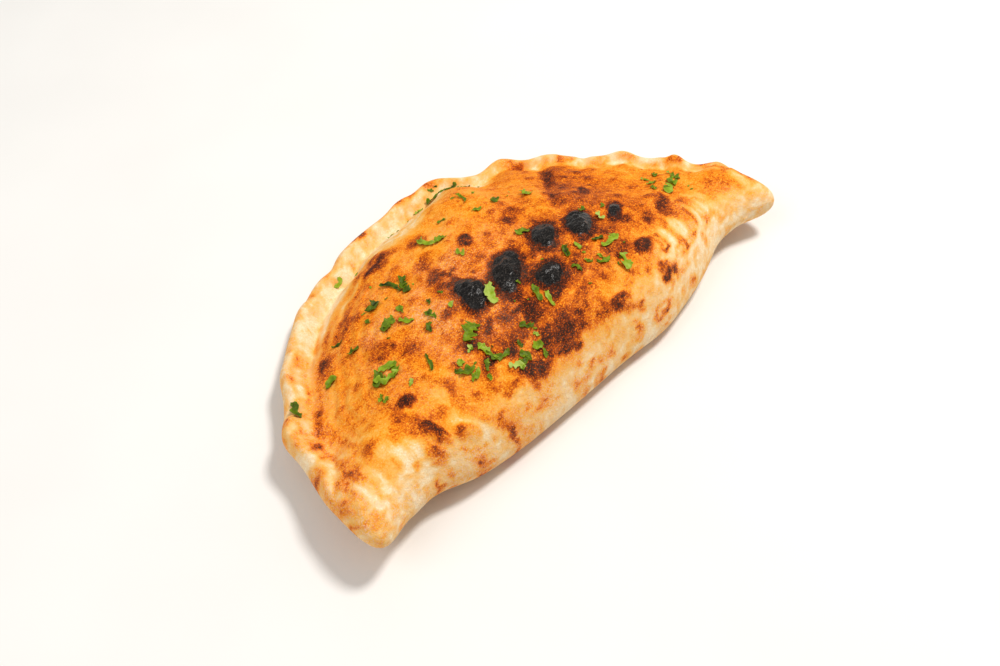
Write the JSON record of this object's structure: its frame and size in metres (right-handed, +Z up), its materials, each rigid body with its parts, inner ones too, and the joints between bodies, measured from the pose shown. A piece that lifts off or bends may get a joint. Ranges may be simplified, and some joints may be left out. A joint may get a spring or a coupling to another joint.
{
  "type": "baked calzone",
  "caption": "Baked folded pizza with a domed blistered top, a fold along one side, a pinched rim round the arc, raised tips and chopped parsley on top.",
  "frame": {"origin": "centre of the bounding box at the underside", "axes": "+X from the left tip to the right tip along the fold, +Y from the fold to the pinched rim, +Z up"},
  "size_m": [0.3096, 0.1788, 0.0572],
  "materials": {
    "crust": "matte baked dough",
    "parsley": "matte green leaf"
  },
  "bodies": {
    "root": {"calzone": "crust"}
  },
  "joints": []
}
